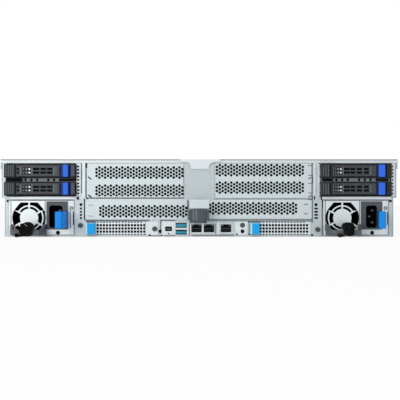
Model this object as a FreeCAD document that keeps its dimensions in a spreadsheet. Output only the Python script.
import FreeCAD, Part
import math
import os
import re
import Sketcher
from FreeCAD import Placement, Rotation, Vector

# A two unit rack server, seen from its rear in the photograph.
# Millimetres, Z up. The rear face looks along -Y and the drive bays along +Y.
# The origin is the middle of the underside of the chassis.

doc = FreeCAD.newDocument("rack_server")
sheet = doc.addObject("Spreadsheet::Sheet", "Dims")

SIZES = [
    # chassis
    ("body_wide", 438.0, "width of the lower half of the chassis"),
    ("shoulder_out", 3.5, "how far the upper half stands out, above the rail step"),
    ("body_high", 87.5, "height over the raised field of the cover"),
    ("body_deep", 815.0, "depth from rear panel to the drive fronts"),
    ("step_high", 43.7, "height of the step in the side walls"),
    ("gauge", 1.0, "thickness of the chassis sheet"),
    ("fit", 0.3, "clearance between pieces that slide or seat"),
    ("front_inset", 19.0, "chassis front edge behind the drive fronts"),
    # top cover
    ("cover_gauge", 1.2, "thickness of the cover sheet"),
    ("emboss_high", 1.0, "height of the raised field on the cover"),
    ("emboss_left", 73.0, "raised field from the left side of the chassis"),
    ("emboss_right", 13.0, "raised field from the right side of the chassis"),
    ("emboss_deep", 300.0, "depth of the raised field"),
    ("skirt_high", 10.0, "height of the side skirts of the cover"),
    ("lip_high", 3.3, "height of the rear lip of the cover"),
    ("tab_wide", 20.3, "width of the tab on the rear edge"),
    ("tab_high", 10.4, "height of the tab on the rear edge"),
    ("pan_wide", 96.0, "width of the latch recess in the cover"),
    ("pan_deep", 34.0, "depth of the latch recess along the chassis"),
    ("pan_sunk", 6.0, "how far the latch recess is sunk"),
    ("pan_y", -40.0, "middle of the latch recess along the chassis"),
    ("latch_thick", 3.2, "thickness of the cover latch"),
    ("latch_pin", 1.2, "radius of the pin of the cover latch"),
    # rear drive bays
    ("bay_left_in", 0.8, "left drive bay from the left side of the chassis"),
    ("bay_right_in", 82.4, "left edge of the right drive bay from the right side"),
    ("bay_low", 46.2, "floor of the lower tray space"),
    ("tray_wide", 79.0, "width of a rear drive tray"),
    ("tray_high", 15.2, "height of a rear drive tray"),
    ("tray_deep", 100.0, "depth of a rear drive tray"),
    ("tray_pitch", 20.0, "height from one rear tray to the next"),
    ("tray_wall", 1.2, "wall of a rear drive tray"),
    ("tray_front", 3.0, "how far the tray front stands out"),
    ("grip_wide", 12.0, "width of the ribbed grip of a tray"),
    ("grip_deep", 9.0, "how far the ribbed grip stands out"),
    ("lever_wide", 49.0, "length of the tray lever"),
    ("lever_thick", 3.7, "thickness of the tray lever"),
    ("release_wide", 10.5, "width of the blue release"),
    ("release_gap", 0.8, "gap from the lever to the release"),
    ("release_travel", 1.4, "travel of the blue release"),
    ("strip_wide", 3.8, "width of the perforated strip beside a bay"),
    # power supplies
    ("supply_left_in", 4.8, "left power supply from the left side of the chassis"),
    ("supply_right_in", 79.1, "left edge of the right supply from the right side"),
    ("supply_wide", 73.5, "width of a power supply"),
    ("supply_high", 40.0, "height of a power supply"),
    ("supply_deep", 185.0, "depth of a power supply"),
    ("bore_x", 22.7, "fan axis from the left edge of the supply"),
    ("bore_z", 19.7, "fan axis above the underside of the supply"),
    ("bore_radius", 18.9, "radius of the fan bore of the supply"),
    ("bore_deep", 27.0, "depth of the fan bore of the supply"),
    ("guard_ring", 14.2, "radius of the ring of the fan guard"),
    ("guard_disc", 10.3, "radius of the disc of the fan guard"),
    ("guard_wire", 1.6, "width of the spokes and ring of the fan guard"),
    ("blower_radius", 18.1, "radius over the blades of the supply fan"),
    ("blower_hub", 9.4, "radius of the hub of the supply fan"),
    ("blower_deep", 13.0, "depth of the supply fan"),
    ("inlet_x", 51.2, "middle of the power inlet from the left edge"),
    ("inlet_z", 22.4, "middle of the power inlet above the underside"),
    ("inlet_wide", 16.4, "width of the power inlet cavity"),
    ("inlet_high", 24.0, "height of the power inlet cavity"),
    ("inlet_deep", 20.0, "depth of the power inlet cavity"),
    ("pin_long", 11.0, "length of the inlet pins"),
    ("pin_pitch", 7.0, "distance between the inlet pins"),
    ("latch_x", 64.2, "pivot of the supply latch from the left edge"),
    ("latch_low", 8.8, "underside of the supply latch above the supply"),
    ("latch_high", 18.6, "height of the supply latch"),
    ("latch_reach", 30.0, "how far the supply latch stands out"),
    ("latch_lean", 4.2, "how far the supply latch leans to the left"),
    ("bail_wide", 39.4, "width of the supply handle"),
    ("bail_x", 2.8, "left edge of the handle from the supply edge"),
    ("bail_reach", 26.0, "how far the handle stands out"),
    ("bail_root", 12.0, "height of the handle at its root"),
    ("bail_bar", 5.0, "height of the bar of the handle"),
    ("bail_thick", 3.0, "thickness of the handle"),
    ("bail_taper", 3.0, "how far each side of the handle leans in"),
    ("roll_radius", 8.7, "radius of the rolled cord strap"),
    ("roll_wide", 13.0, "width of the tape of the cord strap"),
    ("roll_aside", 1.6, "middle of the rolled cord strap beside the fan axis"),
    # expansion slots
    ("slot_clear", 17.5, "left slot windows from the end of the left drive bay"),
    ("slot_in", 18.4, "right edge of the left slot windows from the middle"),
    ("slots_right_x", 18.8, "left edge of the right slot windows"),
    ("slot_high", 14.4, "height of a slot window"),
    ("slot_pitch", 20.3, "height from one slot to the next"),
    ("slot_left_z", 45.6, "sill of the second slot of the left riser"),
    ("slot_right_z", 48.5, "sill of the second slot of the right riser"),
    ("slot_drop", 23.8, "sill of the lowest slot under that of the second"),
    ("slot_margin", 3.0, "how far a slot cover laps behind its window"),
    ("vent_wide", 4.6, "width of a vent opening"),
    ("vent_high", 10.4, "height of a vent opening"),
    ("vent_pitch", 8.4, "distance between vent openings"),
    # network modules and ports
    ("module_clear", 7.9, "left network module from the end of the left drive bay"),
    ("module_in", 58.6, "right edge of the left network module from the middle"),
    ("module_right_x", 57.9, "left edge of the right network module"),
    ("module_high", 14.8, "height of a network module"),
    ("module_deep", 115.0, "depth of a network module"),
    ("module_z", 2.2, "underside of a network module"),
    ("pull_wide", 9.4, "width of the blue pull tab"),
    ("pull_deep", 8.0, "how far the blue pull tab stands out"),
    ("board_z", 2.8, "underside of the main board"),
    ("board_thick", 1.6, "thickness of the main board"),
    ("jack_wide", 11.7, "width of a network jack cavity"),
    ("jack_high", 8.0, "height of a network jack cavity"),
    ("jack_deep", 12.0, "depth of a network jack cavity"),
    ("jack_shell", 15.6, "width of a network jack shell"),
    ("jack_tall", 11.8, "height of a network jack shell"),
    ("jack_one_x", -2.9, "middle of the first network jack"),
    ("jack_pitch", 14.1, "distance from the first to the second jack"),
    ("jack_third_x", 30.4, "middle of the management jack"),
    ("port_x", -20.0, "middle of the stacked ports"),
    ("port_wide", 12.4, "width of a stacked port cavity"),
    ("port_high", 5.0, "height of a stacked port cavity"),
    ("port_deep", 12.0, "depth of a stacked port cavity"),
    ("button_x", 49.0, "middle of the rear button"),
    ("button_z", 13.0, "height of the rear button"),
    ("button_radius", 2.4, "radius of a button"),
    ("button_travel", 0.8, "travel of a button"),
    # strap and captive screw
    ("strap_x", 0.45, "middle of the centre strap"),
    ("strap_wide", 34.0, "width of the centre strap"),
    ("strap_low", 43.0, "lower edge of the wide part of the strap"),
    ("tongue_wide", 21.6, "width of the tongue of the strap"),
    ("shelf_z", 30.6, "underside of the ledge of the strap"),
    ("knob_radius", 12.0, "radius of the captive screw knob"),
    ("knob_high", 14.4, "height of the captive screw knob"),
    ("knob_off", 13.2, "knob axis behind the rear panel"),
    ("shank_radius", 2.9, "radius of the shank of the captive screw"),
    # fans
    ("fan_gap", 51.0, "middle of the fan wall behind the front drive cage"),
    ("fan_deep", 38.0, "depth of a fan frame"),
    ("fan_side", 80.0, "height and width of a fan frame"),
    ("fan_air", 3.0, "air between the fan wall and each side of the chassis"),
    ("fan_bore", 38.4, "radius of the bore of a fan frame"),
    ("rotor_radius", 37.2, "radius over the blades of a fan"),
    ("rotor_hub", 17.0, "radius of the hub of a fan"),
    ("rotor_deep", 26.0, "depth of the blades of a fan"),
    # drive cage and carriers at the front
    ("cage_long", 207.5, "length of the front drive cage with the drive fronts"),
    ("cage_side", 1.8, "wall and air outside the outer drive carriers"),
    ("column_wall", 2.6, "wall between two columns of drive carriers"),
    ("carrier_high", 26.4, "height of a drive carrier"),
    ("ledge_wide", 3.0, "width of the ledges that carry the carriers"),
    ("bezel_deep", 18.0, "depth of the front of a carrier"),
    ("drive_air", 1.9, "wall and air on each side of a drive in its carrier"),
    ("drive_high", 22.0, "height of a drive"),
    ("drive_deep", 147.0, "depth of a drive"),
    # rack ears
    ("ear_reach", 22.3, "how far a rack ear stands out from the chassis"),
    ("ear_gauge", 2.0, "thickness of the rack ears"),
    ("ear_hole_in", 8.75, "rack hole from the outer edge of its ear"),
    ("ear_hole_rise", 76.2, "distance between the rack holes upward"),
    ("ear_hole", 3.5, "radius of the rack holes"),
    ("ear_leg", 60.0, "length of the leg of an ear along the side"),
    ("ear_pod_deep", 12.0, "depth of the moulded pod on an ear"),
    # inside
    ("riser_deep", 205.0, "depth of the riser cages"),
    ("socket_x", 95.0, "middle of a processor from the centre line"),
    ("sink_wide", 78.0, "width of a heat sink"),
    ("sink_deep", 108.0, "depth of a heat sink"),
    ("sink_high", 62.0, "height of a heat sink"),
    ("sink_gap", 134.0, "middle of the heat sinks behind that of the fans"),
    ("module_stick_deep", 133.0, "length of a memory module"),
    ("module_stick_high", 31.0, "height of a memory module"),
    ("stick_pitch", 9.0, "distance between memory modules"),
    ("board_wide", 344.0, "width of the main board beside the processors"),
    ("board_clear", 87.0, "rear half of the main board from the chassis sides"),
    # small fasteners
    ("standoff_radius", 3.2, "radius over the corners of a board standoff"),
    ("screw_radius", 2.8, "radius of the heads of the panel screws"),
    ("screw_high", 1.6, "height of the heads of the panel screws"),
    ("stud_radius", 3.4, "radius of the rail studs on the sides"),
    ("stud_high", 2.4, "how far the rail studs stand out"),
    ("stud_rear", 117.5, "rear rail stud from the rear panel"),
    ("stud_clear", 38.5, "front rail stud behind the leg of the rack ear"),
]

for row, (alias, value, note) in enumerate(SIZES, start=1):
    sheet.set("A%d" % row, alias)
    sheet.set("B%d" % row, str(value))
    sheet.setAlias("B%d" % row, alias)
    sheet.set("C%d" % row, note)
doc.recompute()

NAMES = re.compile(r"[a-z][a-z_]*[a-z]")
NODES = []

# Sizes that follow from others, so that neighbours keep together.
FOLLOWS = {
    "shoulder_wide": "body_wide + 2 * shoulder_out",
    "cover_wide": "shoulder_wide + 2 * cover_gauge + 2 * fit",
    "ear_span": "body_wide + 2 * ear_reach",
    "ear_hole_span": "ear_span - 2 * ear_hole_in",
    "bay_left_x": "0 - body_wide / 2 + bay_left_in",
    "bay_right_x": "body_wide / 2 - bay_right_in",
    "bay_end_x": "bay_left_x + tray_wide + 3 * fit + strip_wide",
    "supply_left_x": "0 - body_wide / 2 + supply_left_in",
    "supply_right_x": "body_wide / 2 - supply_right_in",
    "slots_left_x": "bay_end_x + slot_clear",
    "slot_wide": "0 - slot_in - slots_left_x",
    "module_left_x": "bay_end_x + module_clear",
    "module_wide": "0 - module_in - module_left_x",
    "cage_y": "body_deep / 2 - cage_long",
    "cage_half": "body_wide / 2 - gauge - fit",
    "carrier_wide": "(2 * cage_half - 2 * cage_side - 3 * column_wall - 8 * fit) / 4",
    "carrier_pitch_x": "carrier_wide + 2 * fit + column_wall",
    "carrier_pitch_z": "carrier_high + gauge + fit",
    "drive_wide": "carrier_wide - 2 * drive_air",
    "fan_y": "cage_y - fan_gap",
    "fan_pitch": "(body_wide - 2 * fan_air) / 4",
    "sink_y": "fan_y - sink_gap",
    "board_narrow": "body_wide - 2 * board_clear",
}


def aim(found):
    name = found.group(0)
    if name in FOLLOWS:
        return "(%s)" % NAMES.sub(aim, FOLLOWS[name])
    return "Dims." + name


def formula(text):
    """Point the size names in a formula at the sheet."""
    return NAMES.sub(aim, str(text))


def number(text):
    """Value of a formula of size names."""
    return float(sheet.evalExpression(formula(text)))


def bind(item, prop, text):
    item.setExpression(prop, formula(text))


def place(item, x, y, z):
    bind(item, "Placement.Base.x", x)
    bind(item, "Placement.Base.y", y)
    bind(item, "Placement.Base.z", z)
    return item


def node(item, name):
    """Give a finished piece its own label; this names its file."""
    item.Label = name
    NODES.append(item)
    return item


# Heights, planes and edges that several pieces share.
REAR = "(0 - body_deep / 2)"
FRONT = "(body_deep / 2)"
WALL_TOP = "(body_high - emboss_high - cover_gauge - fit)"
COVER_LOW = "(body_high - emboss_high - cover_gauge)"
COVER_TOP = "(body_high - emboss_high)"
CHASSIS_FRONT = "(body_deep / 2 - front_inset)"
BAY_WIDE = "(tray_wide + 2 * fit)"
CELL_HIGH = "(tray_high + 2 * fit)"
SUPPLY_Z = "(gauge + fit)"
BOARD_TOP = "(board_z + board_thick)"
TRAY_X = "(bay_left_x + fit)"
TRAY_Z = "(bay_low + fit)"
FAN_Z = "(gauge + fit + fan_side / 2)"


def block(name, x, y, z, wide, deep, high):
    item = doc.addObject("Part::Box", name)
    bind(item, "Length", wide)
    bind(item, "Width", deep)
    bind(item, "Height", high)
    return place(item, x, y, z)


def rod(name, x, y, z, radius, length, along="z"):
    item = doc.addObject("Part::Cylinder", name)
    bind(item, "Radius", radius)
    bind(item, "Height", length)
    if along == "y":
        item.Placement = Placement(Vector(0, 0, 0), Rotation(Vector(1, 0, 0), -90))
    if along == "x":
        item.Placement = Placement(Vector(0, 0, 0), Rotation(Vector(0, 1, 0), 90))
    return place(item, x, y, z)


def bar(name, x, y, z, radius, length, along, corners):
    """A straight bar with a regular outline; the radius is over its corners."""
    item = doc.addObject("Part::Prism", name)
    item.Polygon = corners
    bind(item, "Circumradius", radius)
    bind(item, "Height", length)
    if along == "y":
        item.Placement = Placement(Vector(0, 0, 0), Rotation(Vector(1, 0, 0), -90))
    if along == "x":
        item.Placement = Placement(Vector(0, 0, 0), Rotation(Vector(0, 1, 0), 90))
    return place(item, x, y, z)


def polygon(x, y, radius, corners):
    """Corners of a small regular opening, as formulas."""
    points = []
    for i in range(corners):
        angle = math.radians(360 * (i + 0.5) / corners)
        points.append(("%s + %s * %.5f" % (x, radius, math.cos(angle)),
                       "%s + %s * %.5f" % (y, radius, math.sin(angle))))
    return points


def join(name, parts):
    item = doc.addObject("Part::MultiFuse", name)
    item.Shapes = parts
    return item


def carve(name, base, tools):
    tool = tools[0]
    if len(tools) > 1:
        tool = doc.addObject("Part::Compound", name + "_tools")
        tool.Links = tools
    item = doc.addObject("Part::Cut", name)
    item.Base = base
    item.Tool = tool
    return item


def group(name, parts):
    item = doc.addObject("Part::Compound", name)
    item.Links = parts
    return item


def shifted(item, name, x="0", y="0", z="0"):
    """The same piece again at another place."""
    return place(group(name, [item]), x, y, z)


SIDES = {"XY_Plane": 1, "XZ_Plane": -1, "YZ_Plane": 1}


def sketch(body, name, plane, level, loops):
    """A fully constrained sketch; each corner is tied to the sheet.

    A loop is a list of corners, or ("circle", x, y, radius).
    """
    item = body.newObject("Sketcher::SketchObject", name)
    face = [f for f in body.Origin.OriginFeatures if f.Role == plane][0]
    item.AttachmentSupport = (face, [""])
    item.MapMode = "FlatFace"
    offset = level if SIDES[plane] > 0 else "0 - (%s)" % level
    bind(item, "AttachmentOffset.Base.z", offset)
    edges = []
    rules = []
    ties = []
    for loop in loops:
        first = len(edges)
        if loop[0] == "circle":
            x, y, r = [number(t) for t in loop[1:]]
            edges.append(Part.Circle(Vector(x, y, 0), Vector(0, 0, 1), r))
            rules.append(Sketcher.Constraint("DistanceX", -1, 1, first, 3, x))
            rules.append(Sketcher.Constraint("DistanceY", -1, 1, first, 3, y))
            rules.append(Sketcher.Constraint("Radius", first, r))
            ties += loop[1:]
            continue
        corners = [(number(a), number(b)) for a, b in loop]
        count = len(corners)
        for i in range(count):
            a = Vector(corners[i][0], corners[i][1], 0)
            b = Vector(corners[(i + 1) % count][0], corners[(i + 1) % count][1], 0)
            edges.append(Part.LineSegment(a, b))
        for i in range(count):
            follow = first + (i + 1) % count
            rules.append(Sketcher.Constraint("Coincident", first + i, 2, follow, 1))
            ties.append(None)
        for i in range(count):
            spot = first + i
            rules.append(Sketcher.Constraint("DistanceX", -1, 1, spot, 1, corners[i][0]))
            rules.append(Sketcher.Constraint("DistanceY", -1, 1, spot, 1, corners[i][1]))
            ties += [loop[i][0], loop[i][1]]
    item.addGeometry(edges, False)
    item.addConstraint(rules)
    for i, tie in enumerate(ties):
        if tie is not None and NAMES.search(tie):
            bind(item, "Constraints[%d]" % i, tie)
    return item


def pad(body, name, plane, level, loops, length, toward=1):
    profile = sketch(body, name + "_sketch", plane, level, loops)
    item = body.newObject("PartDesign::Pad", name)
    item.Profile = profile
    bind(item, "Length", length)
    item.Reversed = toward != SIDES[plane]
    return item


def pocket(body, name, plane, level, loops, length, toward=1):
    profile = sketch(body, name + "_sketch", plane, level, loops)
    item = body.newObject("PartDesign::Pocket", name)
    item.Profile = profile
    bind(item, "Length", length)
    item.Reversed = toward == SIDES[plane]
    return item


def rect(x, y, wide, high):
    return [
        (x, y),
        ("%s + %s" % (x, wide), y),
        ("%s + %s" % (x, wide), "%s + %s" % (y, high)),
        (x, "%s + %s" % (y, high)),
    ]


def mirrored(points):
    """A profile and its mirror image about the middle plane, as one loop."""
    back = [("0 - (%s)" % x, y) for x, y in reversed(points)]
    return points + back


# Chassis tray: one bent sheet with a step in each side wall for the rails.
base = doc.addObject("PartDesign::Body", "base")
outer = [
    ("body_wide / 2", "0"),
    ("body_wide / 2", "step_high"),
    ("shoulder_wide / 2", "step_high"),
    ("shoulder_wide / 2", WALL_TOP),
    ("shoulder_wide / 2 - gauge", WALL_TOP),
    ("shoulder_wide / 2 - gauge", "step_high + gauge"),
    ("body_wide / 2 - gauge", "step_high + gauge"),
    ("body_wide / 2 - gauge", "gauge"),
]
pad(base, "base_wall", "XZ_Plane", REAR, [mirrored(outer)],
    "body_deep - front_inset")
node(base, "base_pan")

# Rear panel with its windows.
panel = doc.addObject("PartDesign::Body", "panel")
edge = [
    ("body_wide / 2 - gauge - fit", "gauge"),
    ("body_wide / 2 - gauge - fit", "step_high + gauge + fit"),
    ("shoulder_wide / 2 - gauge - fit", "step_high + gauge + fit"),
    ("shoulder_wide / 2 - gauge - fit", WALL_TOP),
]
pad(panel, "panel_plate", "XZ_Plane", REAR, [mirrored(edge)], "gauge")
BAY_TALL = "(tray_pitch + %s)" % CELL_HIGH
windows = []
for bay in ("bay_left_x", "bay_right_x"):
    windows.append(rect(bay, "bay_low", "%s + fit + strip_wide" % BAY_WIDE, BAY_TALL))
for slots, low in (("slots_left_x", "slot_left_z"), ("slots_right_x", "slot_right_z")):
    for step in (0, 1):
        sill = "%s + %d * slot_pitch" % (low, step)
        windows.append(rect(slots, sill, "slot_wide", "slot_high"))
    windows.append(rect(slots, "%s - slot_drop" % low, "slot_wide", "slot_high"))
for module in ("module_left_x", "module_right_x"):
    windows.append(rect("%s - fit" % module, "module_z - fit",
                        "module_wide + 2 * fit", "module_high + 2 * fit"))
pocket(panel, "panel_windows", "XZ_Plane", REAR, windows, "gauge")
bays = []
for supply in ("supply_left_x", "supply_right_x"):
    bays.append(rect("%s - fit" % supply, "gauge - 0.5",
                     "supply_wide + 2 * fit", "supply_high + 2 * fit + 0.5"))
for jack in ("jack_one_x", "jack_one_x + jack_pitch", "jack_third_x"):
    bays.append(rect("%s - jack_wide / 2" % jack, "%s + 1.6" % BOARD_TOP,
                     "jack_wide", "jack_high"))
bays.append(rect("port_x - port_wide / 2", "gauge + fit + 1.0", "port_wide", "13.2"))
bays.append(rect("port_x - 18.0", "gauge + 5.6", "7.4", "4.6"))
pocket(panel, "panel_bays", "XZ_Plane", REAR, bays, "gauge")
rounds = [("circle", "button_x", "button_z", "button_radius + fit")]
rounds.append(polygon("button_x", "button_z - 6.9", "2.2", 12))
for step in range(4):
    rise = "bay_low - 9.8 - 5 * %d" % step
    rounds.append(polygon("bay_left_x + 85.2", rise, "1.25", 6))
    rounds.append(polygon("bay_right_x - 5.2", rise, "1.25", 6))
pocket(panel, "panel_rounds", "XZ_Plane", REAR, rounds, "gauge")
node(panel, "rear_panel")

# Cages of the rear drives, two trays each, with a hollow divider between.
cage_deep = "(tray_deep + 6)"
body = block("cage_body", "bay_left_x - gauge", REAR + " + gauge", "bay_low - gauge",
             BAY_WIDE + " + 2 * gauge", cage_deep, BAY_TALL + " + 2 * gauge")
nose = block("cage_nose", "bay_left_x", REAR, "bay_low + " + CELL_HIGH,
             BAY_WIDE, "gauge", "tray_pitch - " + CELL_HIGH)
cells = []
for step in (0, 1):
    cells.append(block("cage_cell", "bay_left_x", REAR, "bay_low + %d * tray_pitch" % step,
                       BAY_WIDE, cage_deep, CELL_HIGH))
cells.append(block("cage_hollow", "bay_left_x + gauge", REAR + " + gauge",
                   "bay_low + " + CELL_HIGH + " + gauge", BAY_WIDE + " - 2 * gauge",
                   "2 + " + cage_deep,
                   "tray_pitch - " + CELL_HIGH + " - 2 * gauge"))
for spot in ("22.9", "29.6", "37.0", "49.3", "55.5", "61.7"):
    cells.append(block("cage_hole", "bay_left_x + " + spot, REAR + " - 1",
                       "bay_low + tray_pitch - 3.2", "2.2", "4", "2.2"))
for spot, wide in (("4.0", "14.0"), ("67.0", "9.0")):
    cells.append(block("cage_slot", "bay_left_x + " + spot, REAR + " - 1",
                       "bay_low + tray_pitch - 3.2", wide, "4", "2.2"))
cage_one = carve("cage_left", join("cage_blank", [body, nose]), cells)
cage_two = shifted(cage_one, "cage_right", "bay_right_x - bay_left_x")
node(group("rear_cages", [cage_one, cage_two]), "rear_drive_cages")

# One rear drive tray: moulded front with a ribbed grip, rails and the drive.
tray_parts = [
    block("tray_face", TRAY_X, REAR + " - tray_front", TRAY_Z, "tray_wide",
          "tray_front", "tray_high"),
    block("tray_floor", TRAY_X, REAR, TRAY_Z, "tray_wide", "tray_deep", "tray_wall"),
    block("tray_rail", TRAY_X, REAR, TRAY_Z, "tray_wall * 2", "tray_deep", "tray_high"),
    block("tray_rail", TRAY_X + " + tray_wide - tray_wall * 2", REAR, TRAY_Z,
          "tray_wall * 2", "tray_deep", "tray_high"),
    block("tray_grip", TRAY_X, REAR + " - grip_deep", TRAY_Z, "grip_wide",
          "grip_deep", "tray_high"),
    block("tray_end", TRAY_X + " + tray_wide - 5.6", REAR + " - tray_front - 3.6", TRAY_Z,
          "5.6", "tray_front + 3.6", "tray_high"),
]
LEVER_X = "(%s + grip_wide + 0.6)" % TRAY_X
PIVOT_X = "(%s + lever_thick / 2)" % LEVER_X
PIVOT_Y = "(%s - tray_front - fit - lever_thick / 2)" % REAR
RELEASE_X = "(%s + lever_wide + release_gap)" % LEVER_X
for low in (TRAY_Z, TRAY_Z + " + tray_high - tray_wall"):
    tray_parts.append(block("tray_ear", LEVER_X + " - 0.7", PIVOT_Y + " - lever_thick / 2",
                            low, "lever_thick + 0.9", "lever_thick + fit + 0.1",
                            "tray_wall"))
tray_parts.append(bar("tray_pin", PIVOT_X, PIVOT_Y, TRAY_Z, "0.8", "tray_high", "z", 8))
tray_cuts = []
for rib in range(4):
    tray_cuts.append(block("tray_rib", TRAY_X + " + 1.6 + %s" % (2.6 * rib),
                           REAR + " - grip_deep - 1", TRAY_Z + " + 1.4", "1.3", "2.4",
                           "tray_high - 2.8"))
tray_cuts.append(block("tray_window", RELEASE_X + " - fit", REAR + " - tray_front - 1",
                       TRAY_Z + " + tray_wall", "release_wide + 2 * fit", "tray_front + 2",
                       "tray_high - 2 * tray_wall"))
tray_cuts.append(block("tray_relief", TRAY_X + " + 12", REAR + " + 12", TRAY_Z + " - 1",
                       "tray_wide - 24", "tray_deep - 30", "3"))
tray_frame = carve("tray_frame", join("tray_blank", tray_parts), tray_cuts)
drive = block("small_drive", TRAY_X + " + 4", REAR + " + 2", TRAY_Z + " + tray_wall",
              "tray_wide - 8", "tray_deep - 4", "tray_high - 3.6")

# Its lever: a barrel round the pin and a flat bar with two rows of windows.
lever_low = TRAY_Z + " + tray_wall + fit"
lever_high = "(tray_high - 2 * tray_wall - 2 * fit)"
lever_bar = join("lever_bar", [
    block("lever_flat", PIVOT_X, PIVOT_Y + " - lever_thick / 2", lever_low,
          "lever_wide - lever_thick / 2", "lever_thick", lever_high),
    bar("lever_barrel", PIVOT_X, PIVOT_Y, lever_low, "lever_thick / 2", lever_high, "z", 12),
])
lever_cuts = [rod("lever_bore", PIVOT_X, PIVOT_Y, TRAY_Z, "1.05", "tray_high")]
for column in range(4):
    for line in (0, 1):
        lever_cuts.append(block("lever_window", LEVER_X + " + 12.4 + %s" % (7.6 * column),
                                PIVOT_Y + " - lever_thick",
                                TRAY_Z + " + tray_high / 2 - 4.3 + %s" % (5.0 * line),
                                "6.4", "lever_thick * 2", "3.4"))
tray_lever = carve("lever_one", lever_bar, lever_cuts)

# The blue release: a cap in front of the face and a plug through its window.
release = join("release_one", [
    block("release_cap", RELEASE_X, REAR + " - tray_front - fit - release_travel - 3.4",
          TRAY_Z + " + 0.6", "release_wide", "3.4", "tray_high - 1.2"),
    block("release_plug", RELEASE_X + " + 0.2", REAR + " - tray_front - fit - release_travel",
          TRAY_Z + " + tray_wall + fit", "release_wide - 0.4", "4.0",
          "tray_high - 2 * tray_wall - 2 * fit"),
])

tray_one = group("tray_one", [tray_frame, drive])
across = "bay_right_x - bay_left_x"
spots = [("left_lower", "0", "0"), ("left_upper", "0", "tray_pitch"),
         ("right_lower", across, "0"), ("right_upper", across, "tray_pitch")]
for spot, x, z in spots:
    node(shifted(tray_one, "tray_" + spot, x, "0", z), "rear_tray_" + spot)
    node(shifted(tray_lever, "lever_" + spot, x, "0", z), "tray_lever_" + spot)
    node(shifted(release, "release_" + spot, x, "0", z), "tray_release_" + spot)

# Power supply: steel box, fan bore with a spoked guard, inlet with pins.
SUPPLY_X = "supply_left_x"
BORE_X = "(supply_left_x + bore_x)"
BORE_Z = "(%s + bore_z)" % SUPPLY_Z
INLET_X = "(supply_left_x + inlet_x)"
INLET_Z = "(%s + inlet_z)" % SUPPLY_Z
LATCH_X = "(supply_left_x + latch_x)"
box = block("supply_box", SUPPLY_X, REAR, SUPPLY_Z, "supply_wide", "supply_deep",
            "supply_high")
frame = block("inlet_frame", INLET_X + " - inlet_wide / 2 - 0.8", REAR + " - 1.5",
              SUPPLY_Z + " + 6.6", "inlet_wide + 2.4", "3", "32")
supply_cuts = [
    block("supply_hollow", SUPPLY_X + " + gauge", REAR + " + bore_deep + gauge",
          SUPPLY_Z + " + gauge", "supply_wide - 2 * gauge",
          "supply_deep - bore_deep - 2 * gauge", "supply_high - 2 * gauge"),
    rod("supply_bore", BORE_X, REAR + " - 1", BORE_Z, "bore_radius", "bore_deep + 1", "y"),
    block("inlet_cavity", INLET_X + " - inlet_wide / 2", REAR + " - 3",
          INLET_Z + " - inlet_high / 2", "inlet_wide", "inlet_deep + 3", "inlet_high"),
    block("latch_notch", LATCH_X + " - 3.2", REAR + " - 3", SUPPLY_Z + " + latch_low - fit",
          "6.4", "11", "latch_high + 2 * fit"),
    bar("lamp_hole", SUPPLY_X + " + 70.3", REAR + " - 1", SUPPLY_Z + " + 31", "1.4", "3",
        "y", 8),
    bar("catch_hole", SUPPLY_X + " + 55.2", REAR + " - 1", SUPPLY_Z + " + 3.2", "2.2", "6",
        "y", 12),
]
shell = carve("supply_shell", join("supply_blank", [box, frame]), supply_cuts)
guard = [
    carve("guard_hoop",
          bar("hoop_out", BORE_X, REAR, BORE_Z, "guard_ring + guard_wire / 2", "gauge", "y",
              24),
          [bar("hoop_in", BORE_X, REAR + " - 1", BORE_Z, "guard_ring - guard_wire / 2",
               "gauge + 2", "y", 24)]),
    bar("guard_plate", BORE_X, REAR, BORE_Z, "guard_disc", "gauge", "y", 24),
    block("spring_bar", SUPPLY_X + " + 67.9", REAR + " - 1.6", SUPPLY_Z + " + 8.6", "1.2",
          "1.8", "19.8"),
]
for turn in range(6):
    spoke = doc.addObject("Part::Box", "guard_spoke")
    bind(spoke, "Length", "bore_radius + 0.4 - guard_disc + 0.6")
    bind(spoke, "Width", "gauge")
    bind(spoke, "Height", "guard_wire")
    angle = 30 + 60 * turn
    spoke.Placement = Placement(Vector(0, 0, 0), Rotation(Vector(0, 1, 0), -angle))
    c, s = math.cos(math.radians(angle)), math.sin(math.radians(angle))
    place(spoke, BORE_X + " + (guard_disc - 0.6) * %.5f + guard_wire / 2 * %.5f" % (c, s),
          REAR,
          BORE_Z + " + (guard_disc - 0.6) * %.5f - guard_wire / 2 * %.5f" % (s, c))
    guard.append(spoke)
pins = [bar("blower_shaft", BORE_X, REAR + " + bore_deep - 14", BORE_Z, "1.6", "14.5", "y",
            8)]
for step in (-1, 0, 1):
    pins.append(block("inlet_pin", INLET_X + " - 1", REAR + " + inlet_deep - pin_long",
                      INLET_Z + " - 2 + %d * pin_pitch" % step, "2", "pin_long + 0.5", "4"))
pins.append(bar("latch_peg", LATCH_X, REAR + " + 3.4", SUPPLY_Z + " + latch_low - 1.2",
                "0.9", "latch_high + 2.4", "z", 8))
supply_one = join("supply_one", [shell] + guard + pins)

# The supply's fan: a hub with swept blades.
blower = doc.addObject("PartDesign::Body", "blower")
pad(blower, "blower_cup", "XY_Plane", "0", [polygon("0", "0", "blower_hub", 18)],
    "blower_deep")
pocket(blower, "blower_eye", "XY_Plane", "0", [("circle", "0", "0", "1.9")], "blower_deep",
       toward=1)
first_blade = pad(blower, "blower_blade", "XY_Plane", "1.0", [[
    ("blower_hub - 0.8", "0 - 2.2"),
    ("blower_radius * 0.72", "0.8"),
    ("blower_radius * 0.955", "5.6"),
    ("blower_radius * 0.93", "6.7"),
    ("blower_radius * 0.68", "2.4"),
    ("blower_hub - 0.8", "0 - 0.8"),
]], "blower_deep - 2.0")
wheel = blower.newObject("PartDesign::PolarPattern", "blower_wheel")
wheel.Originals = [first_blade]
wheel.Axis = (first_blade.Profile[0], ["N_Axis"])
wheel.Angle = 360
wheel.Occurrences = 9
blower.Tip = wheel
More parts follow.
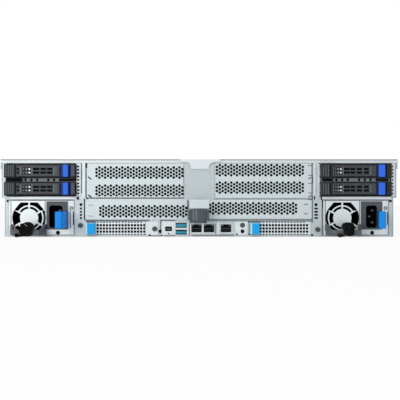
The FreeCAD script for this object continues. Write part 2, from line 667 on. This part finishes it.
blower.Placement = Placement(Vector(0, 0, 0), Rotation(Vector(1, 0, 0), -90))
place(blower, BORE_X, REAR + " + bore_deep - 0.4 - blower_deep", BORE_Z)

# The supply's latch: a blue lever with a root in the notch, leaning left.
squeeze = doc.addObject("PartDesign::Body", "squeeze")
pad(squeeze, "squeeze_lever", "XY_Plane", "0", [[
    ("1.7", "2.0"),
    ("1.7", "0 - 6"),
    ("0 - latch_lean + 3.2", "0 - latch_reach - 3.4"),
    ("0 - latch_lean + 2.2", "0 - latch_reach - 5.0"),
    ("0 - latch_lean - 2.4", "0 - latch_reach - 5.0"),
    ("0 - latch_lean - 3.2", "0 - latch_reach - 3.4"),
    ("0 - latch_lean - 2.6", "0 - latch_reach + 8"),
    ("0 - 1.9", "0 - 6"),
    ("0 - 1.9", "2.0"),
], ("circle", "0", "0", "1.15")], "latch_high")
place(squeeze, LATCH_X, REAR + " + 3.4", SUPPLY_Z + " + latch_low")

# The supply's handle: a moulded bail that tapers from its root to its bar.
bail = doc.addObject("PartDesign::Body", "bail")
pad(bail, "bail_side", "YZ_Plane", SUPPLY_X + " + bail_x", [[
    (REAR, SUPPLY_Z + " + 0.8"),
    (REAR, SUPPLY_Z + " + 0.8 + bail_root"),
    (REAR + " - 4", SUPPLY_Z + " + 0.8 + bail_root"),
    (REAR + " - bail_reach * 0.6", SUPPLY_Z + " + 2.1 + bail_bar"),
    (REAR + " - bail_reach", SUPPLY_Z + " + 2.1 + bail_bar"),
    (REAR + " - bail_reach", SUPPLY_Z + " + 2.1"),
]], "bail_wide")
inner = []
trims = []
for side, start in ((1, "bail_x"), (-1, "bail_x + bail_wide")):
    edge_x = SUPPLY_X + " + %s + %d * " % (start, side)
    inside = [
        (edge_x + "bail_thick", REAR + " + 1"),
        (edge_x + "bail_thick", REAR + " - 6"),
        (edge_x + "(bail_thick + bail_taper)", REAR + " - bail_reach + bail_thick + 3"),
        (edge_x + "(bail_thick + bail_taper + 3)", REAR + " - bail_reach + bail_thick"),
    ]
    inner += inside if side > 0 else list(reversed(inside))
    trims.append([
        (edge_x + "(0 - 1)", REAR + " - bail_reach - 1"),
        (edge_x + "(bail_taper + 4)", REAR + " - bail_reach - 1"),
        (edge_x + "(bail_taper + 4)", REAR + " - bail_reach"),
        (edge_x + "(bail_taper + 1.2)", REAR + " - bail_reach + 1.2"),
        (edge_x + "bail_taper", REAR + " - bail_reach + 4"),
        (edge_x + "0", REAR + " - 6"),
        (edge_x + "(0 - 1)", REAR + " - 6"),
    ])
pocket(bail, "bail_gap", "XY_Plane", "0", [inner], "supply_high", toward=1)
pocket(bail, "bail_corners", "XY_Plane", "0", trims, "supply_high", toward=1)

# The cord strap: a roll of tape round the bar of the handle, with its tail.
ROLL_X = "(%s + roll_aside)" % BORE_X
ROLL_Y = "(%s - bail_reach + bail_thick / 2)" % REAR
ROLL_Z = "(fit + roll_radius)"
roll = carve("roll_one", join("roll_blank", [
    bar("roll_body", ROLL_X, ROLL_Y + " - roll_wide / 2", ROLL_Z, "roll_radius",
        "roll_wide", "y", 20),
    block("roll_tail", ROLL_X + " - roll_radius - 3.4", ROLL_Y + " - roll_wide / 2 + 1",
          "fit", "6", "3", "4.6"),
]), [block("roll_slot", ROLL_X + " - roll_radius - 4",
           ROLL_Y + " - bail_thick / 2 - fit", SUPPLY_Z + " + 2.1 - fit",
           "2 * roll_radius + 8", "bail_thick + 2 * fit", "bail_bar + 2 * fit")])

apart = "supply_right_x - supply_left_x"
for side, x in (("left", "0"), ("right", apart)):
    node(shifted(supply_one, "case_" + side, x), "supply_case_" + side)
    node(shifted(blower, "blower_" + side, x), "supply_fan_" + side)
    node(shifted(squeeze, "squeeze_" + side, x), "supply_latch_" + side)
    node(shifted(bail, "bail_" + side, x), "supply_handle_" + side)
    node(shifted(roll, "roll_" + side, x), "cord_strap_" + side)


def oblong(x, z, wide, high):
    """Corners of an opening about its middle."""
    return [(x - wide / 2, z - high / 2), (x + wide / 2, z - high / 2),
            (x + wide / 2, z + high / 2), (x - wide / 2, z + high / 2)]


def face_of(points, y):
    corners = [Vector(x, y, z) for x, z in points]
    return Part.makePolygon(corners + [corners[0]])


def perforated(x, y, z, wide, deep, high, openings):
    """A flat plate in one extrusion, with its openings in the face."""
    rim = [(x, z), (x + wide, z), (x + wide, z + high), (x, z + high)]
    wires = [face_of(rim, y)] + [face_of(points, y) for points in openings]
    face = Part.Face(wires, "Part::FaceMakerBullseye")
    return face.extrude(Vector(0, deep, 0))


# Vented covers of the six slots, and the square-holed strips beside the bays.
rear_y = number(REAR)
gauge = number("gauge")
slot_wide = number("slot_wide")
slot_high = number("slot_high")
lap = number("slot_margin")
vent_wide = number("vent_wide")
vent_high = number("vent_high")
pitch = number("vent_pitch")
plates = []
for slots, low in (("slots_left_x", "slot_left_z"), ("slots_right_x", "slot_right_z")):
    for rise in (number("slot_pitch"), 0.0, 0 - number("slot_drop")):
        left = number(slots)
        sill = number(low) + rise
        middle = sill + slot_high / 2
        openings = []
        columns = int((slot_wide - 6.0) // pitch) + 1
        start = left + (slot_wide - (columns - 1) * pitch) / 2
        for column in range(columns):
            openings.append(oblong(start + column * pitch, middle, vent_wide, vent_high))
        plates.append(perforated(left - lap, rear_y + gauge, sill - lap / 2,
                                 slot_wide + 2 * lap, gauge, slot_high + lap, openings))
for bay in ("bay_left_x", "bay_right_x"):
    left = number("%s + %s + fit" % (bay, BAY_WIDE))
    low = number("bay_low")
    high = number(BAY_TALL)
    wide = number("strip_wide")
    openings = [oblong(left + wide / 2, low + high / 2 + (i - 4) * 3.8, 2.3, 2.3)
                for i in range(9)]
    plates.append(perforated(left, rear_y, low + 0.1, wide - 0.1, gauge, high - 0.2,
                             openings))
covers = doc.addObject("Part::Feature", "covers")
covers.Shape = Part.Compound(plates)
node(covers, "vented_slot_covers")

# Network module: vented face, blue pull tab, board and a finned chip.
module_x = number("module_left_x")
module_z = number("module_z")
module_wide = number("module_wide")
module_high = number("module_high")
pull = number("pull_wide")
openings = []
columns = int((module_wide - pull - 6.0) // 4.2)
for column in range(columns):
    openings.append(oblong(module_x + pull + 5.0 + column * 4.2, module_z + module_high / 2,
                           2.9, module_high - 7.4))
face_plate = doc.addObject("Part::Feature", "module_face")
face_plate.Shape = perforated(module_x, rear_y, module_z, module_wide, gauge, module_high,
                              openings)
card = join("module_one", [
    face_plate,
    block("module_board", "module_left_x + 1", REAR + " + gauge", "module_z + 1.2",
          "module_wide - 2", "module_deep - gauge", "1.6"),
    block("module_chip", "module_left_x + module_wide / 4", REAR + " + 34", "module_z + 2.8",
          "module_wide / 2", "40", "8"),
    block("module_flange", "module_left_x + 1", REAR + " + gauge", "module_z",
          "module_wide - 2", "9", "1.2"),
    block("module_pull", "module_left_x + 0.4", REAR + " - pull_deep", "module_z + 1.2",
          "pull_wide", "pull_deep", "module_high - 2.4"),
])
card = carve("module_hooked", card, [
    block("module_grip", "module_left_x + 2.4", REAR + " - pull_deep + 1.6",
          "module_z + 3.6", "pull_wide", "pull_deep - 3.2", "module_high - 7.2"),
])
node(shifted(card, "module_l"), "network_module_left")
node(shifted(card, "module_r", "module_right_x - module_left_x"), "network_module_right")

# Main board on its standoffs, with sockets and a tongue for the ports.
board_rear = REAR + " + module_deep + 7"
board_front = "fan_y - fan_deep / 2 - 6"
pieces = [
    block("board_main", "0 - board_narrow / 2", board_rear, "board_z", "board_narrow",
          board_front + " - (" + board_rear + ")", "board_thick"),
    block("board_wing", "0 - board_wide / 2", "sink_y - module_stick_deep / 2 - 8", "board_z",
          "board_wide", board_front + " - (sink_y - module_stick_deep / 2 - 8)",
          "board_thick"),
    block("board_tongue", "module_left_x + module_wide + 4", REAR + " + 22", "board_z",
          "module_right_x - module_left_x - module_wide - 8", "module_deep - 13",
          "board_thick"),
    block("chip_set", "0 - 20", board_rear + " + 125", BOARD_TOP, "40", "40", "11"),
    block("socket", "0 - socket_x - 36", "sink_y - 42", BOARD_TOP, "72", "84", "3"),
    block("socket", "socket_x - 36", "sink_y - 42", BOARD_TOP, "72", "84", "3"),
]
for x in ("0 - board_narrow / 2 + 14", "0", "board_narrow / 2 - 14"):
    for y in (board_rear + " + 16", "sink_y - sink_gap", board_front + " - 24"):
        pieces.append(bar("standoff", x, y, "gauge", "standoff_radius", "board_z - gauge",
                          "z", 6))
node(join("board", pieces), "main_board")

# Heat sinks on the two processors.
sinks = []
for x in ("0 - socket_x", "socket_x"):
    fins = [block("sink_base", x + " - sink_wide / 2", "sink_y - sink_deep / 2",
                  BOARD_TOP + " + 3", "sink_wide", "sink_deep", "6")]
    for count in range(12):
        fins.append(block("sink_fin", x + " - sink_wide / 2 + %d * (sink_wide - 1) / 11" % count,
                          "sink_y - sink_deep / 2", BOARD_TOP + " + 8.5", "1.0",
                          "sink_deep", "sink_high - 8.5"))
    sinks.append(join("sink", fins))
node(group("sinks", sinks), "heat_sinks")

# Memory modules on both sides of each processor.
sticks = []
for x in ("0 - socket_x", "socket_x"):
    for side in (-1, 1):
        for count in range(4):
            away = "%s + %d * (sink_wide / 2 + 5 + %d * stick_pitch)" % (x, side, count)
            if side < 0:
                away = away + " - 1.4"
            sticks.append(block("stick", away, "sink_y - module_stick_deep / 2", BOARD_TOP,
                                "1.4", "module_stick_deep", "module_stick_high"))
node(group("memory", sticks), "memory_modules")

# Riser cages: a bent bracket that carries a riser board with three connectors.
risers = []
for side, slots, low in ((1, "slots_left_x + slot_wide", "slot_left_z"),
                         (-1, "slots_right_x + slot_wide", "slot_right_z")):
    web = slots + " + 1.6"
    if side < 0:
        web = slots + " + 6.0"
    shelf = slots + " - slot_wide - 2"
    bits = [
        block("riser_web", web, REAR + " + 2 * gauge", BOARD_TOP + " + 13", "gauge",
              "riser_deep", WALL_TOP + " - 18.2"),
        block("riser_card", web + " - 2", REAR + " + 125", BOARD_TOP, "2", "72",
              low + " + slot_pitch"),
    ]
    for rise in ("0 - slot_drop", "0", "slot_pitch"):
        bits.append(block("riser_socket", web + " - 13", REAR + " + 132",
                          low + " + " + rise + " + 3", "11.2", "58", "7.6"))
    for height in (low + " - 4.2", low + " + slot_pitch - 4.2", WALL_TOP + " - 2 * gauge"):
        bits.append(block("riser_shelf", shelf, REAR + " + 2 * gauge", height,
                          web + " - (" + shelf + ")", "30", "gauge"))
    risers.append(join("riser", bits))
node(group("riser_pair", risers), "riser_cages")

# Ports: three network jacks and a stack of two wide ports with a small one.
jacks = []
for jack in ("jack_one_x", "jack_one_x + jack_pitch", "jack_third_x"):
    wide = "(jack_pitch - fit)" if jack != "jack_third_x" else "jack_shell"
    jacks.append(carve("jack", block(
        "jack_body", jack + " - " + wide + " / 2", REAR + " + gauge", BOARD_TOP,
        wide, "26", "jack_tall"), [block(
            "jack_cavity", jack + " - jack_wide / 2", REAR, BOARD_TOP + " + 1.6",
            "jack_wide", "jack_deep", "jack_high")]))
node(group("jacks", jacks), "network_jacks")
stack = block("port_body", "port_x - port_wide / 2 - 0.5", REAR + " + gauge", "gauge + fit",
              "port_wide + 1.0", "18", "15.2")
stack_cuts = []
tongues = []
for rise in ("1.2", "8.8"):
    low = "gauge + fit + " + rise
    stack_cuts.append(block("port_cavity", "port_x - port_wide / 2", REAR, low,
                            "port_wide", "port_deep", "port_high"))
    tongues.append(block("port_tongue", "port_x - port_wide / 2 + 0.8", REAR + " + 6",
                         low + " + port_high - 2.3", "port_wide - 1.6", "port_deep", "1.8"))
stack = join("port_stack", [carve("port_shell", stack, stack_cuts)] + tongues)
small = carve("small_port", block("small_body", "port_x - 18.6", REAR + " + gauge",
                                  BOARD_TOP, "8.6", "24", "7.6"), [
    block("small_cavity", "port_x - 17.7", REAR, BOARD_TOP + " + 2.6", "6.8", "7", "3.8")])
node(group("ports", [stack, small]), "data_ports")

# Rear button and the button on the right ear.
press = join("press", [
    rod("press_cap", "button_x", REAR + " - button_travel - 0.2", "button_z",
        "button_radius", "button_travel + 5", "y"),
    bar("press_collar", "button_x", REAR + " + gauge + button_travel", "button_z",
        "button_radius + 1.4", "2", "y", 6),
])
node(press, "rear_button")

# Centre strap: a plate on the panel, a tongue and a ledge for the knob.
KNOB_Y = "(%s - knob_off)" % REAR
strap = doc.addObject("PartDesign::Body", "strap")
pad(strap, "strap_plate", "XZ_Plane", REAR, [[
    ("strap_x - strap_wide / 2", "strap_low"),
    ("strap_x - strap_wide / 2", COVER_TOP + " - lip_high - fit"),
    ("strap_x + strap_wide / 2", COVER_TOP + " - lip_high - fit"),
    ("strap_x + strap_wide / 2", "strap_low"),
    ("strap_x + tongue_wide / 2", "strap_low - 3"),
    ("strap_x + tongue_wide / 2", "shelf_z"),
    ("strap_x - tongue_wide / 2", "shelf_z"),
    ("strap_x - tongue_wide / 2", "strap_low - 3"),
]], "gauge", toward=-1)
pad(strap, "strap_ledge", "XY_Plane", "shelf_z", [
    rect("strap_x - tongue_wide / 2", KNOB_Y + " - 8", "tongue_wide", "knob_off + 8"),
], "gauge + 0.4")
for side, name in ((-1, "left"), (1, "right")):
    start = "strap_x + tongue_wide / 2 - gauge"
    if side < 0:
        start = "strap_x - tongue_wide / 2"
    pad(strap, "strap_gusset_" + name, "YZ_Plane", start, [[
        (REAR + " - gauge + 0.2", "shelf_z + 0.4"),
        (KNOB_Y + " - 4", "shelf_z + 0.4"),
        (REAR + " - gauge + 0.2", "strap_low - 4"),
    ]], "gauge")
pocket(strap, "strap_hole", "XY_Plane", "shelf_z - 1", [
    ("circle", "strap_x - 1.2", KNOB_Y, "shank_radius + fit")], "gauge + 3", toward=1)
node(strap, "centre_strap")

# Captive screw: a knurled knob turned in one revolve, below the ledge.
knob = doc.addObject("PartDesign::Body", "knob")
turned = sketch(knob, "knob_profile", "XZ_Plane", "0", [[
    ("0", "0"),
    ("knob_radius - 3", "0"),
    ("knob_radius - 1.6", "3.4"),
    ("knob_radius - 1.6", "knob_high"),
    ("shank_radius", "knob_high"),
    ("shank_radius", "knob_high + 6.8"),
    ("0", "knob_high + 6.8"),
]])
spin = knob.newObject("PartDesign::Revolution", "knob_turned")
spin.Profile = turned
spin.ReferenceAxis = (turned, ["V_Axis"])
spin.Angle = 360
teeth = []
for count in range(48):
    reach = "knob_radius" if count % 4 in (0, 1) else "(knob_radius - 1.1)"
    angle = math.radians(7.5 * (count + (0.3 if count % 2 else -0.3)))
    teeth.append(("%s * %.5f" % (reach, math.cos(angle)), "%s * %.5f" % (reach, math.sin(angle))))
pad(knob, "knob_teeth", "XY_Plane", "3.4", [teeth], "knob_high - 3.4")
place(knob, "strap_x - 1.2", KNOB_Y, "shelf_z - fit - knob_high")
node(knob, "captive_screw_knob")

# Fan wall: four fan frames on a base strip, each with a spider for its rotor.
frames = [block("wall_strip", "0 - body_wide / 2 + 5", "fan_y - fan_deep / 2", "gauge",
                "body_wide - 10", "fan_deep", "0.8")]
eyes = []
for count in range(4):
    x = "(%s * fan_pitch)" % (count - 1.5)
    frames.append(block("fan_frame", x + " - fan_side / 2", "fan_y - fan_deep / 2",
                        "gauge + fit", "fan_side", "fan_deep", "fan_side"))
    eyes.append(bar("fan_eye", x, "fan_y - fan_deep / 2 - 1", FAN_Z, "fan_bore",
                    "fan_deep + 2", "y", 24))
blank = carve("fan_frames", join("fan_blank", frames), eyes)
spiders = []
for count in range(4):
    x = "(%s * fan_pitch)" % (count - 1.5)
    spiders.append(bar("spider_plate", x, "fan_y - fan_deep / 2", FAN_Z, "rotor_hub", "3",
                       "y", 12))
    spiders.append(bar("spider_shaft", x, "fan_y - fan_deep / 2 + 1", FAN_Z, "2.4", "26",
                       "y", 8))
    for turn in range(3):
        arm = doc.addObject("Part::Box", "spider_arm")
        bind(arm, "Length", "fan_bore + 1")
        bind(arm, "Width", "3")
        bind(arm, "Height", "3")
        arm.Placement = Placement(Vector(0, 0, 0), Rotation(Vector(0, 1, 0), 120 * turn + 30))
        spiders.append(place(arm, x, "fan_y - fan_deep / 2", FAN_Z))
node(join("fan_wall_all", [blank] + spiders), "fan_wall")

# One fan rotor: a cup on the shaft with seven swept blades.
rotor = doc.addObject("PartDesign::Body", "rotor")
pad(rotor, "rotor_cup", "XY_Plane", "0", [polygon("0", "0", "rotor_hub", 14)], "rotor_deep")
pocket(rotor, "rotor_eye", "XY_Plane", "0", [("circle", "0", "0", "2.8")], "24", toward=1)
paddle = pad(rotor, "rotor_blade", "XY_Plane", "1.5", [[
    ("rotor_hub - 1.2", "0 - 5"),
    ("rotor_radius * 0.7", "0 - 1"),
    ("rotor_radius * 0.955", "10.4"),
    ("rotor_radius * 0.92", "13.2"),
    ("rotor_radius * 0.66", "2.6"),
    ("rotor_hub - 1.2", "0 - 2"),
]], "rotor_deep - 3")
vanes = rotor.newObject("PartDesign::PolarPattern", "rotor_vanes")
vanes.Originals = [paddle]
vanes.Axis = (paddle.Profile[0], ["N_Axis"])
vanes.Angle = 360
vanes.Occurrences = 7
rotor.Tip = vanes
rotor.Placement = Placement(Vector(0, 0, 0), Rotation(Vector(1, 0, 0), -90))
place(rotor, "0", "fan_y - fan_deep / 2 + 3 + fit", FAN_Z)
for count in range(4):
    name = "fan_rotor_%d" % (count + 1)
    node(shifted(rotor, name + "_at", "%s * fan_pitch" % (count - 1.5)), name)

# Front cage: sheet box with three dividers, ledges and a backplane.
cage = doc.addObject("PartDesign::Body", "cage")
CAGE_HALF = "cage_half"
CAGE_TOP = "(%s - fit)" % WALL_TOP
pad(cage, "cage_block", "XZ_Plane", "cage_y", [
    rect("0 - " + CAGE_HALF, "gauge", "2 * " + CAGE_HALF, CAGE_TOP + " - gauge")],
    CHASSIS_FRONT + " - cage_y")
CELL_X = "(carrier_wide / 2 + fit)"
FIRST_Z = "(2 * gauge)"
loops = []
for count in range(4):
    middle = "(%s * carrier_pitch_x)" % (count - 1.5)
    right = []
    for line in (1, 2):
        z = FIRST_Z + " + %d * carrier_pitch_z - gauge" % line
        right.append((middle + " + " + CELL_X, z))
        right.append((middle + " + " + CELL_X + " - ledge_wide", z))
        right.append((middle + " + " + CELL_X + " - ledge_wide", z + " + gauge"))
        right.append((middle + " + " + CELL_X, z + " + gauge"))
    left = [(x.replace("+ " + CELL_X + " - ledge_wide", "- " + CELL_X + " + ledge_wide")
             .replace("+ " + CELL_X, "- " + CELL_X), z) for x, z in reversed(right)]
    loops.append([(middle + " - " + CELL_X, FIRST_Z), (middle + " + " + CELL_X, FIRST_Z)]
                 + right
                 + [(middle + " + " + CELL_X, CAGE_TOP + " - gauge"),
                    (middle + " - " + CELL_X, CAGE_TOP + " - gauge")]
                 + left)
pocket(cage, "cage_columns", "XZ_Plane", "cage_y + 3", loops,
       CHASSIS_FRONT + " - cage_y", toward=1)
vents = []
for count in range(4):
    for line in range(3):
        vents.append(rect("%s * carrier_pitch_x - carrier_wide * 0.3" % (count - 1.5),
                          FIRST_Z + " + %d * carrier_pitch_z + 14" % line,
                          "carrier_wide * 0.6", "8"))
pocket(cage, "cage_vents", "XZ_Plane", "cage_y - 1", vents, "6", toward=1)
node(cage, "front_drive_cage")

# One front carrier: a vented front with a handle notch, rails and a drive.
CARRIER_X = "(0 - 1.5 * carrier_pitch_x - carrier_wide / 2)"
CARRIER_Z = "(%s + fit)" % FIRST_Z
carrier = doc.addObject("PartDesign::Body", "carrier")
pad(carrier, "carrier_bezel", "XZ_Plane", FRONT + " - bezel_deep", [
    rect(CARRIER_X, CARRIER_Z, "carrier_wide", "carrier_high - fit")], "bezel_deep")
pad(carrier, "carrier_tray", "XZ_Plane", FRONT + " - bezel_deep - drive_deep - 6", [[
    (CARRIER_X, CARRIER_Z),
    (CARRIER_X + " + carrier_wide", CARRIER_Z),
    (CARRIER_X + " + carrier_wide", CARRIER_Z + " + 12"),
    (CARRIER_X + " + carrier_wide - 1.2", CARRIER_Z + " + 12"),
    (CARRIER_X + " + carrier_wide - 1.2", CARRIER_Z + " + 1.2"),
    (CARRIER_X + " + 1.2", CARRIER_Z + " + 1.2"),
    (CARRIER_X + " + 1.2", CARRIER_Z + " + 12"),
    (CARRIER_X, CARRIER_Z + " + 12"),
]], "drive_deep + 6.5")
grille = []
for count in range(4):
    grille.append(rect(CARRIER_X + " + 19 + %d * (carrier_wide - 38) / 4" % count,
                       CARRIER_Z + " + 4", "(carrier_wide - 38) / 4 - 2.6",
                       "carrier_high - 10"))
pocket(carrier, "carrier_grille", "XZ_Plane", FRONT + " - bezel_deep + 2", grille,
       "bezel_deep", toward=1)
pocket(carrier, "carrier_notch", "XZ_Plane", FRONT + " - 5", [
    rect(CARRIER_X + " + 4", CARRIER_Z + " + 4", "11", "carrier_high - 9"),
    rect(CARRIER_X + " + carrier_wide - 14", CARRIER_Z + " + 4", "9", "carrier_high - 9")],
    "6", toward=1)
disk = block("disk", CARRIER_X + " + carrier_wide / 2 - drive_wide / 2",
             FRONT + " - bezel_deep - drive_deep - 2", CARRIER_Z + " + 1.2", "drive_wide",
             "drive_deep", "drive_high")
carrier_one = group("carrier_one", [carrier, disk])
for count in range(4):
    for line in range(3):
        name = "front_carrier_%d%d" % (line + 1, count + 1)
        node(shifted(carrier_one, name + "_at", "%d * carrier_pitch_x" % count, "0",
                     "%d * carrier_pitch_z" % line), name)

# Rack ears: a flange with two holes, a leg along the side and a moulded pod.
ears = []
for side in (-1, 1):
    flange_x = "body_wide / 2" if side > 0 else "0 - ear_span / 2"
    leg_x = "body_wide / 2" if side > 0 else "0 - body_wide / 2 - 1.6"
    pod_x = "body_wide / 2 + 0.4" if side > 0 else "0 - body_wide / 2 - 8.4"
    solid = join("ear_blank", [
        block("ear_flange", flange_x, CHASSIS_FRONT, "0.5", "ear_span / 2 - body_wide / 2",
              "ear_gauge", "body_high - 1"),
        block("ear_leg", leg_x, CHASSIS_FRONT + " - ear_leg", "2", "1.6",
              "ear_leg + 0.5", "step_high - 3"),
        block("ear_pod", pod_x, CHASSIS_FRONT + " + ear_gauge - 0.2", "3", "8",
              "ear_pod_deep", "body_high - 6"),
    ])
    holes = []
    for up in (-1, 1):
        holes.append(rod("ear_hole", "%d * ear_hole_span / 2" % side,
                         CHASSIS_FRONT + " - 1", "body_high / 2 + %d * ear_hole_rise / 2" % up,
                         "ear_hole", "ear_gauge + 2", "y"))
    if side < 0:
        holes.append(bar("ear_bore", "0 - body_wide / 2 - 4.4",
                         CHASSIS_FRONT + " + ear_gauge + 4", "60",
                         "button_radius + 1.5 * fit", "ear_pod_deep", "y", 12))
    ears.append(carve("ear", solid, holes))
node(group("ear_pair", ears), "rack_ears")
power = rod("power_cap", "0 - body_wide / 2 - 4.4",
            CHASSIS_FRONT + " + ear_gauge + 4 + button_travel + 0.2", "60", "button_radius",
            "ear_pod_deep - 4", "y")
node(power, "power_button")

# Screws of the rear panel and the studs that hang the chassis in its rails.
STUD_REAR = "(%s + stud_rear)" % REAR
STUD_FRONT = "(%s - ear_leg - stud_clear)" % CHASSIS_FRONT
heads = []
for x, z in (("bay_left_x + 84.6", "12.8"), ("bay_right_x - 2.9", "8.2"),
             ("module_left_x + module_wide + 8.7", "8.9")):
    heads.append(bar("screw", x, REAR + " - screw_high", z, "screw_radius", "screw_high",
                     "y", 16))
for side in (-1, 1):
    x = "body_wide / 2" if side > 0 else "0 - body_wide / 2 - stud_high"
    for y in (STUD_REAR, "(%s + %s) / 2" % (STUD_REAR, STUD_FRONT), STUD_FRONT):
        heads.append(bar("stud", x, y, "step_high / 2", "stud_radius", "stud_high", "x", 12))
node(group("heads", heads), "screws_and_studs")

# Top cover: bent sheet with skirts, a rear lip, a tab and a latch recess.
cover = doc.addObject("PartDesign::Body", "cover")
skirt = [
    ("cover_wide / 2", COVER_TOP + " - skirt_high"),
    ("cover_wide / 2", COVER_TOP),
]
under = [
    ("cover_wide / 2 - cover_gauge", COVER_TOP + " - skirt_high"),
    ("cover_wide / 2 - cover_gauge", COVER_LOW),
]
shape = (skirt + [("0 - (%s)" % x, z) for x, z in reversed(skirt)]
         + [("0 - (%s)" % x, z) for x, z in under] + list(reversed(under)))
pad(cover, "cover_sheet", "XZ_Plane", REAR + " - gauge", [shape],
    CHASSIS_FRONT + " - 2 - (" + REAR + " - gauge)")
pad(cover, "cover_lip", "XZ_Plane", REAR + " - gauge", [
    rect("0 - cover_wide / 2 + cover_gauge / 2", COVER_TOP + " - lip_high",
         "cover_wide - cover_gauge", "lip_high - cover_gauge / 2")], "gauge")
pad(cover, "cover_tab", "XZ_Plane", REAR + " - 2 * gauge - fit", [
    rect("strap_x + 0.7 - tab_wide / 2", COVER_TOP + " - tab_high", "tab_wide",
         "tab_high")], "gauge")
pad(cover, "cover_bridge", "XZ_Plane", REAR + " - 2 * gauge - fit", [
    rect("strap_x + 0.7 - tab_wide / 2", COVER_LOW, "tab_wide", "cover_gauge")],
    "gauge + fit + 0.5")
pad(cover, "cover_field", "XY_Plane", COVER_TOP + " - 0.2", [[
    ("0 - body_wide / 2 + emboss_left", REAR + " + 14"),
    ("body_wide / 2 - emboss_right", REAR + " + 14"),
    ("body_wide / 2 - emboss_right", REAR + " + 14 + emboss_deep"),
    ("0 - body_wide / 2 + emboss_left", REAR + " + 14 + emboss_deep"),
]], "emboss_high + 0.2")
pad(cover, "cover_pan", "XY_Plane", COVER_LOW + " - pan_sunk + 0.2", [
    rect("0 - pan_wide / 2", "pan_y - pan_deep / 2", "pan_wide", "pan_deep")],
    "pan_sunk")
pocket(cover, "cover_recess", "XY_Plane", COVER_LOW + " - pan_sunk + 0.2 + gauge", [
    rect("0 - pan_wide / 2 + gauge", "pan_y - pan_deep / 2 + gauge",
         "pan_wide - 2 * gauge", "pan_deep - 2 * gauge")], "pan_sunk + 6", toward=1)
LATCH_AXIS_Z = "(%s - latch_thick / 2 - 0.2)" % COVER_TOP
LATCH_AXIS_X = "(0 - pan_wide / 2 + gauge + 4)"
hinge_pin = rod("cover_pin", LATCH_AXIS_X, "pan_y - pan_deep / 2 + 0.5", LATCH_AXIS_Z,
                "latch_pin", "pan_deep - 1", "y")
node(join("cover_all", [cover, hinge_pin]), "top_cover")

# Cover latch: a flat lever on the pin across its recess.
handle = doc.addObject("PartDesign::Body", "handle")
pad(handle, "latch_bar", "XZ_Plane", "pan_y - pan_deep / 2 + gauge + fit", [[
    (LATCH_AXIS_X + " - latch_thick / 2", LATCH_AXIS_Z + " - latch_thick / 2"),
    (LATCH_AXIS_X + " - latch_thick / 2", LATCH_AXIS_Z + " + latch_thick / 2 - 0.6"),
    (LATCH_AXIS_X + " - latch_thick / 2 + 0.6", LATCH_AXIS_Z + " + latch_thick / 2"),
    ("pan_wide / 2 - gauge - 9", LATCH_AXIS_Z + " + latch_thick / 2"),
    ("pan_wide / 2 - gauge - 8", LATCH_AXIS_Z + " - latch_thick / 2"),
], ("circle", LATCH_AXIS_X, LATCH_AXIS_Z, "latch_pin + 0.25")],
    "pan_deep - 2 * gauge - 2 * fit")
node(handle, "cover_latch")

doc.recompute()

# Nothing is written unless every piece came out whole.
for item in doc.Objects:
    for word in ("Invalid", "Error"):
        if word in item.State:
            raise RuntimeError("%s did not build: %s" % (item.Label, item.State))
os.makedirs("parts", exist_ok=True)
for item in NODES:
    solid = item.Shape
    if solid.isNull() or not solid.isValid() or not solid.Solids:
        raise RuntimeError("%s has no valid shape" % item.Label)
for item in NODES:
    item.Shape.exportStep("parts/%s.step" % item.Label)
print(len(NODES), "nodes written")
